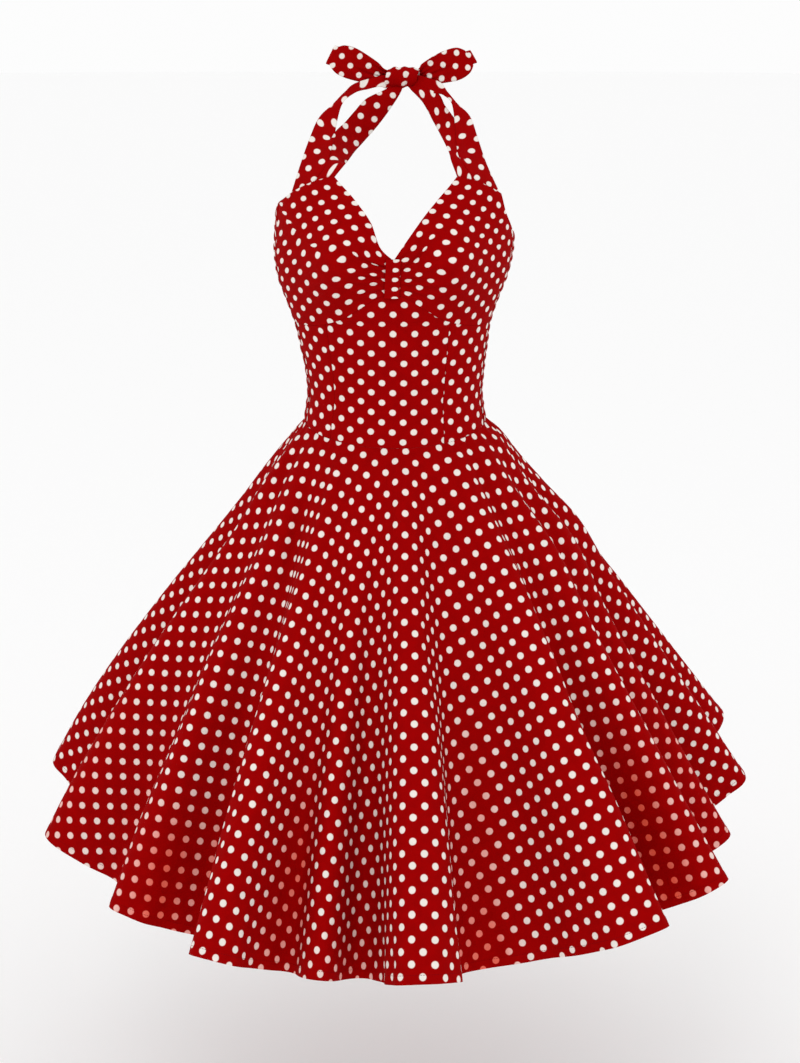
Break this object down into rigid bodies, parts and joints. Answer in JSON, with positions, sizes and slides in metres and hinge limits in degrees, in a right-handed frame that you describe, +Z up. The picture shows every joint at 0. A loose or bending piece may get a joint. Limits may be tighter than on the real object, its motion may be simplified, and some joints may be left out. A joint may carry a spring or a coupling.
{
  "type": "halter dress",
  "caption": "Hollow halter-neck swing dress in its worn shape: bow at the nape, gathered cups, fitted midriff, shirred back and a full-circle skirt in soft folds.",
  "frame": {"origin": "centre of the wearer's neck at the height of the bow's knot, where the neck holds the dress up", "axes": "+Z up the wearer's body, -Y towards the dress's front, +X towards the viewer's right when facing the front"},
  "size_m": [0.9914, 0.9466, 1.085],
  "materials": {
    "skirt_cloth": "matte woven cotton",
    "bodice_cloth": "matte woven cotton",
    "shirred_cloth": "matte woven cotton, elasticated",
    "halter_cloth": "matte woven cotton, folded double"
  },
  "bodies": {
    "root": {"skirt_front": "skirt_cloth", "skirt_back": "skirt_cloth", "midriff_front": "bodice_cloth", "midriff_side_left": "bodice_cloth", "midriff_side_right": "bodice_cloth", "cup_left": "bodice_cloth", "cup_right": "bodice_cloth", "centre_loop": "bodice_cloth", "back_bodice": "shirred_cloth", "halter_band_left": "halter_cloth", "halter_band_right": "halter_cloth", "halter_tie_left": "halter_cloth", "halter_tie_right": "halter_cloth", "bow_loop_left": "halter_cloth", "bow_loop_right": "halter_cloth", "bow_knot": "halter_cloth"}
  },
  "joints": []
}
